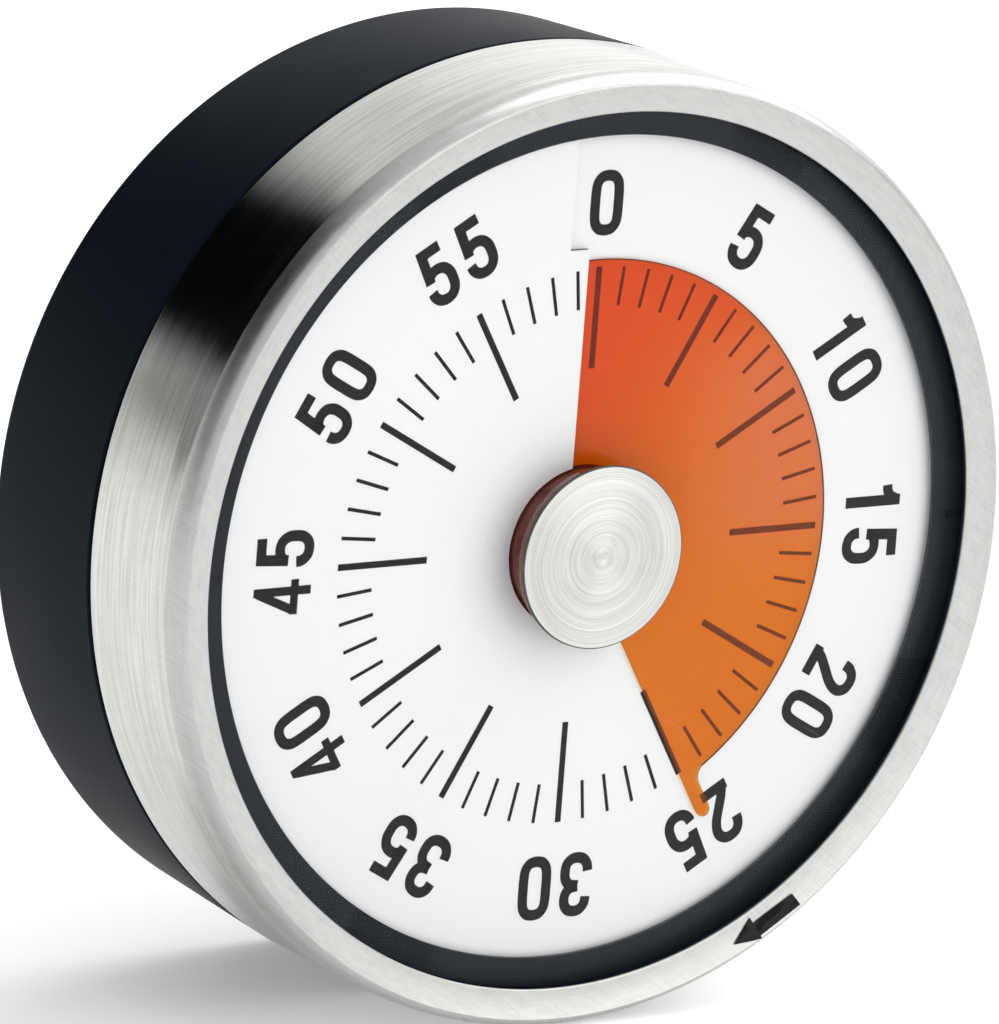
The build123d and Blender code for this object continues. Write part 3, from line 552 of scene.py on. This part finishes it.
# ---------------------------------------------------------------- film
film_low, film_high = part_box("time_film")
SCREW_RISE = 0.55 * MM        # how far the film's screw rises in one turn
FILM_EDGE = 150.0            # clockwise angle of the leading edge, at 25 minutes
FILM_GAP = 1.0               # degrees left open between the film's two ends
TURN_STEPS = 360
RADIUS_STEPS = 14
TAB_STEPS = 10
FILM_OUTLINE = 0.09 * MM     # painted shade: the cut rim takes a dark finish over this width
film_thickness = 0.1 * MM
film_outer = film_high.x
film_hole = hub_radius + 0.12 * MM
film_edge_front = -film_low.y
# (reach past the film's rim in mm, side nearest the film in degrees, outer side in degrees)
TAB_SIDES = ((0.0, -5.0, 0.0), (0.12, -4.3, 0.0), (0.3, -3.7, 0.0), (0.55, -3.25, 0.0),
             (0.85, -3.0, 0.0), (1.4, -2.9, 0.0), (2.2, -2.84, 0.0), (2.9, -2.8, 0.0),
             (3.3, -2.72, -0.1), (3.55, -2.56, -0.3), (3.74, -2.3, -0.62), (3.86, -1.95, -0.98),
             (3.9, -1.5, -1.4))


def film_front(angle):
    """Height of the film's front side at a clockwise angle; it is screwed like the dial."""
    return film_edge_front - SCREW_RISE * (FILM_EDGE - angle) / 360.0


def film_mesh():
    """The film: a screwed ring sector with a rounded pointer at its leading edge."""
    shape = bmesh.new()
    tab_start = FILM_EDGE + TAB_SIDES[0][1]
    trailing = FILM_EDGE - 360.0 + FILM_GAP
    columns = [trailing + (tab_start - trailing) * step / TURN_STEPS for step in range(TURN_STEPS + 1)]
    tab_columns = [step / TAB_STEPS for step in range(TAB_STEPS + 1)]
    angles = columns + [tab_start + (FILM_EDGE - tab_start) * share for share in tab_columns[1:]]
    radii = [film_hole + (film_outer - FILM_OUTLINE - film_hole) * step / RADIUS_STEPS
             for step in range(RADIUS_STEPS + 1)]
    radii.append(film_outer)

    def point(radius, angle, back):
        x, z = clock(radius, angle)
        return shape.verts.new((x, -film_front(angle) + (film_thickness if back else 0.0), z))

    layers = []
    for back in (False, True):
        grid = [[point(radius, angle, back) for angle in angles] for radius in radii]
        tab = [grid[-1][len(columns) - 1:]]
        for rise, start, end in TAB_SIDES[1:]:
            tab.append([point(film_outer + rise * MM, FILM_EDGE + start + (end - start) * share, back)
                        for share in tab_columns])
        for rows in (grid, tab):
            for low, high in zip(rows, rows[1:]):
                for column in range(len(low) - 1):
                    face = shape.faces.new((low[column], low[column + 1], high[column + 1],
                                            high[column]))
                    # faces along the outer rim and at the trailing end take the dark finish, painted
                    # shade of the cut edge
                    along_rim = high is grid[-1] and column < len(columns) - 1
                    along_end = rows is grid and column == 0
                    if along_rim or along_end:
                        face.material_index = 1
        layers.append(grid + tab[1:])
    # the thin cut sides take the same painted shade
    rims = [edge for edge in shape.edges if len(edge.link_faces) == 1]
    for face in bmesh.ops.bridge_loops(shape, edges=rims)["faces"]:
        face.material_index = 1
    return closed_mesh("film_sheet", shape)


film = finish_piece("film_sheet", film_mesh(), (film_red, film_rim_painted_shade), "film")
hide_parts("time_film")

# ---------------------------------------------------------------- print on the dial
dial_node = nodes["dial"]
INK_LIFT = 0.006 * MM
INK_DEPTH = 0.010 * MM
MITRE_LIMIT = 0.45           # keeps a sharp corner of a stroke from running out too far


def dial_front(x, z):
    """The depth of the dial's printed side at a point; it is a shallow screw."""
    hit, where, _, _ = dial_node.ray_cast(Vector((x, cad_low.y - 0.01, z)), Vector((0, 1, 0)))
    return where.y if hit else None


def lay_on_dial(verts, turn, offset, shift=0.0):
    """Turns flat artwork, drawn with its top along +Y, clockwise and lays it on the dial.

    offset is how far its printing plate was off the dial's centre.
    """
    angle = math.radians(turn)
    for vertex in verts:
        u, v, lift = vertex.co
        u += shift
        x = u * math.cos(angle) + v * math.sin(angle) + offset[0]
        z = -u * math.sin(angle) + v * math.cos(angle) + offset[1]
        vertex.co = (x, dial_front(x, z) - INK_LIFT - (INK_DEPTH if lift > 0 else 0.0), z)


def ribbon(shape, path, half_width, closed=False):
    """Adds a thin closed solid, one stroke of even width along a path; returns its vertices."""
    count = len(path)
    rows = []
    for index in range(count):
        here = Vector(path[index])
        before = Vector(path[index - 1] if index or closed else path[0])
        after = Vector(path[(index + 1) % count] if index < count - 1 or closed else path[-1])
        into = (here - before).normalized()
        out = (after - here).normalized()
        if into.length == 0:
            into = out
        if out.length == 0:
            out = into
        along = (into + out).normalized()
        side = Vector((-along.y, along.x)) * half_width / max(MITRE_LIMIT, along.dot(into))
        rows.append([shape.verts.new((*(here - side), 0)), shape.verts.new((*(here + side), 0)),
                     shape.verts.new((*(here + side), 1)), shape.verts.new((*(here - side), 1))])
    pairs = list(zip(rows, rows[1:]))
    if closed:
        pairs.append((rows[-1], rows[0]))
    else:
        shape.faces.new(rows[0][::-1])
        shape.faces.new(rows[-1])
    for low, high in pairs:
        for corner in range(4):
            after = (corner + 1) % 4
            shape.faces.new((low[corner], low[after], high[after], high[corner]))
    return [vertex for row in rows for vertex in row]


def curve(points, steps=7):
    """Points of a smooth curve through the given ones."""
    ends = [points[0]] + list(points) + [points[-1]]
    made = []
    for four in zip(ends, ends[1:], ends[2:], ends[3:]):
        for step in range(steps):
            t = step / steps
            made.append(tuple(0.5 * (2 * q + (r - p) * t + (2 * p - 5 * q + 4 * r - e) * t * t
                                     + (3 * q - p - 3 * r + e) * t ** 3) for p, q, r, e in zip(*four)))
    return made + [tuple(points[-1])]


def straight(start, end, steps=1):
    """Points of a straight stroke."""
    return [tuple(a + (b - a) * step / steps for a, b in zip(start, end)) for step in range(steps + 1)]


TICK_OUTER = 22.8 * MM
TICK_INNER, TICK_HALF = 19.6 * MM, 0.15 * MM
FIVE_INNER, FIVE_HALF = 14.5 * MM, 0.275 * MM
TICK_OFFSET = (0.05 * MM, 0.05 * MM)
NUMBER_OFFSET = (0.28 * MM, -0.05 * MM)
MINUTE = 6                   # degrees of dial to a minute
scale = bmesh.new()
for minute in range(60):
    inner, half = (FIVE_INNER, FIVE_HALF) if minute % 5 == 0 else (TICK_INNER, TICK_HALF)
    tick = ribbon(scale, straight((0, inner), (0, TICK_OUTER), 12), half)
    lay_on_dial(tick, minute * MINUTE, TICK_OFFSET)
finish_piece("minute_scale", closed_mesh("minute_scale", scale), print_ink, "case")

# numerals as the middle lines of their strokes, in millimetres, foot at 0, centred on 0
NUMERAL_TALL = 5.46
STROKE = 0.45 * MM            # half the width of a numeral's line
THIN_STROKE = 0.36 * MM       # the same for the 4, so that it stays open
DIGIT_HEIGHT = 0.97          # scale of the drawn numerals in height
DIGIT_WIDTH = 1.05           # and in width
DIGIT_PITCH = 3.92 * MM      # from one digit's middle to the next
DIGIT_FOOT = 25.42 * MM      # the foot's distance from the dial's centre
ZERO_LEFT = [(-1.03, 2.7), (-1.03, 3.6), (-0.93, 4.4), (-0.55, 4.9), (0, 5.03)]
FIVE_BOWL = [(-0.92, 2.78), (-0.45, 3.12), (0.05, 3.22), (0.62, 3.02), (0.97, 2.45), (1.02, 1.8),
             (0.93, 1.1), (0.55, 0.58), (0.0, 0.43), (-0.58, 0.6), (-0.93, 1.08), (-1.0, 1.6)]


def zero_path():
    """The closed oval of the 0."""
    left = curve(ZERO_LEFT)
    top = left + [(-x, y) for x, y in reversed(left[:-1])]
    return top[:-1] + [(x, NUMERAL_TALL - y) for x, y in reversed(top[1:])]


DIGITS = {
    "0": [zero_path()],
    "1": [straight((0.28, 0.0), (0.28, NUMERAL_TALL)),
          curve([(-0.92, 4.12), (-0.45, 4.18), (-0.05, 4.45), (0.2, 4.95)])],
    "2": [curve([(-1.0, 3.72), (-0.93, 4.35), (-0.55, 4.88), (0.0, 5.03), (0.58, 4.88), (0.96, 4.35),
                 (0.95, 3.7), (0.66, 2.98), (0.1, 2.15), (-0.5, 1.25), (-0.84, 0.5)]),
          [(-1.29, 0.48), (1.15, 0.48)]],
    "3": [curve([(-0.98, 3.85), (-0.9, 4.45), (-0.5, 4.92), (0.02, 5.03), (0.58, 4.86), (0.92, 4.3),
                 (0.88, 3.55), (0.5, 3.05), (-0.2, 2.9)]),
          curve([(-0.2, 2.86), (0.55, 2.72), (0.96, 2.2), (1.02, 1.5), (0.9, 0.92), (0.52, 0.54),
                 (0.0, 0.43), (-0.55, 0.58), (-0.92, 1.05), (-1.02, 1.65)])],
    "4": [straight((0.5, 0.0), (0.5, NUMERAL_TALL)), straight((0.42, 5.1), (-1.02, 1.62)),
          straight((-1.35, 1.55), (1.38, 1.55))],
    "5": [[(0.98, 4.98), (-0.70, 4.98), (-0.86, 2.36)], curve(FIVE_BOWL)],
}

numbers = bmesh.new()
for minute in range(0, 60, 5):
    label = str(minute)
    for place, digit in enumerate(label):
        shift = (place - (len(label) - 1) / 2) * DIGIT_PITCH
        half = THIN_STROKE if digit == "4" else STROKE
        for path in DIGITS[digit]:
            flat = [(x * DIGIT_WIDTH * MM, y * DIGIT_HEIGHT * MM + DIGIT_FOOT) for x, y in path]
            stroke = ribbon(numbers, flat, half, closed=digit == "0")
            lay_on_dial(stroke, minute * MINUTE, NUMBER_OFFSET, shift)
finish_piece("dial_numbers", closed_mesh("dial_numbers", numbers), print_ink, "case")

# ---------------------------------------------------------------- arrow on the lip
# corners as (radius in mm, minute on the dial), from the tip round
ARROW = ((37.39, 25.71), (38.25, 25.10), (37.95, 25.10), (38.0, 24.02), (36.95, 24.02),
         (36.85, 25.10), (36.35, 25.10))


def lip_front_at(radius):
    """Height of the lip's dished face at a radius."""
    face_outer = lip_radius - lip_corner
    share = (face_outer - radius) / (face_outer - face_inner - 0.1 * MM)
    return lip_front - face_drop * max(0.0, min(1.0, share))


def arrow_on_lip():
    """The printed arrow that shows which way to wind."""
    shape = bmesh.new()
    outline = [(radius * MM, minute * MINUTE) for radius, minute in ARROW]
    for lift in (0.0, INK_DEPTH):
        corners = []
        for radius, angle in outline:
            x, z = clock(radius, angle)
            corners.append(shape.verts.new((x, -lip_front_at(radius) - INK_LIFT - lift, z)))
        shape.faces.new(corners)
    shape.verts.ensure_lookup_table()
    count = len(outline)
    for corner in range(count):
        after = (corner + 1) % count
        shape.faces.new((shape.verts[corner], shape.verts[after], shape.verts[after + count],
                         shape.verts[corner + count]))
    bmesh.ops.triangulate(shape, faces=shape.faces[:])
    bmesh.ops.subdivide_edges(shape, edges=shape.edges[:], cuts=3, use_grid_fill=True)
    # each new point is brought back onto the lip, under or over the ink
    for vertex in shape.verts:
        radius = math.hypot(vertex.co.x, vertex.co.z)
        under = -lip_front_at(radius) - INK_LIFT
        vertex.co.y = under - (INK_DEPTH if vertex.co.y < under - 0.5 * INK_DEPTH else 0.0)
    finish_piece("winding_arrow", closed_mesh("winding_arrow", shape), arrow_ink, "turning_front")


arrow_on_lip()

# ---------------------------------------------------------------- studio
FLOOR_REACH = 6.0
floor_mesh = bpy.data.meshes.new("floor")
floor_shape = bmesh.new()
bmesh.ops.create_grid(floor_shape, x_segments=1, y_segments=1, size=FLOOR_REACH)
floor_shape.to_mesh(floor_mesh)
floor_shape.free()
floor = bpy.data.objects.new("floor", floor_mesh)
floor.location.z = cad_low.z
bpy.context.scene.collection.objects.link(floor)
floor_white, _, _ = material("floor_white", (0.80, 0.80, 0.80), 0.8, Emission_Strength=0.28,
                             Emission_Color=(1.0, 1.0, 1.0, 1.0))
floor_mesh.materials.append(floor_white)

world = bpy.data.worlds.new("studio")
world.use_nodes = True
bpy.context.scene.world = world
w = Nodes(world.node_tree)
background = world.node_tree.nodes["Background"]
generated = w.add("ShaderNodeTexCoord").outputs["Generated"]
direction = w.add("ShaderNodeSeparateXYZ", {0: generated}).outputs


def times(first, second):
    return w.math("MULTIPLY", first, second)


def along(angle):
    """How far a direction points along a line in the dial's plane, an angle in degrees up from +X."""
    turn = math.radians(angle)
    return w.math("ADD", times(direction[0], math.cos(turn)), times(direction[2], math.sin(turn)))


# Brush marks that run round the ring reflect, at each place, a fan of directions that all point
# equally far along the mark there. So a dark patch of the room with two such edges shows on the
# steel side as a band with clean ends.
ROOM_LIGHT = 0.87            # strength of the plain white room
BAND_TOP, BAND_FOOT = 43.0, 65.0
WALL_DARK = 0.62             # how much a wall at the left, behind the timer, takes away
BACK_BRIGHT = 0.45           # how much brighter the room is behind the timer at the right
behind = w.ranged(direction[1], -0.20, 0.15)
band = times(w.ranged(along(BAND_TOP), 0.20, 0.42, 1.0, 0.0), w.ranged(along(BAND_FOOT), -0.04, 0.09))
wall = times(w.ranged(direction[0], -0.50, -0.25, WALL_DARK, 0.0), w.ranged(direction[2], 0.0, 0.14))
bright = times(w.ranged(direction[0], 0.15, 0.5), behind)
tone = times(w.math("SUBTRACT", ROOM_LIGHT, times(times(band, behind), ROOM_LIGHT)),
             times(w.math("SUBTRACT", 1.0, times(wall, behind)),
                   w.math("MULTIPLY_ADD", bright, BACK_BRIGHT, 1.0)))
# the camera itself sees plain white
seen = w.math("MAXIMUM", tone, w.add("ShaderNodeLightPath").outputs["Is Camera Ray"])
w.feed(background.inputs["Strength"], seen)
background.inputs["Color"].default_value = (1.0, 1.0, 1.0, 1.0)


def softbox(name, place, size, power):
    """A soft square light that looks at the timer's back, the frame's origin."""
    lamp = bpy.data.lights.new(name, "AREA")
    lamp.shape = "RECTANGLE"
    lamp.size = lamp.size_y = size
    lamp.energy = power
    made = bpy.data.objects.new(name, lamp)
    made.location = place
    made.rotation_mode = "QUATERNION"
    made.rotation_quaternion = (-Vector(place)).to_track_quat("-Z", "Y")
    bpy.context.scene.collection.objects.link(made)


softbox("overhead", (0.75, 0.15, 1.0), 1.3, 11.0)
softbox("front", (0.55, -1.3, 0.55), 1.6, 9.5)
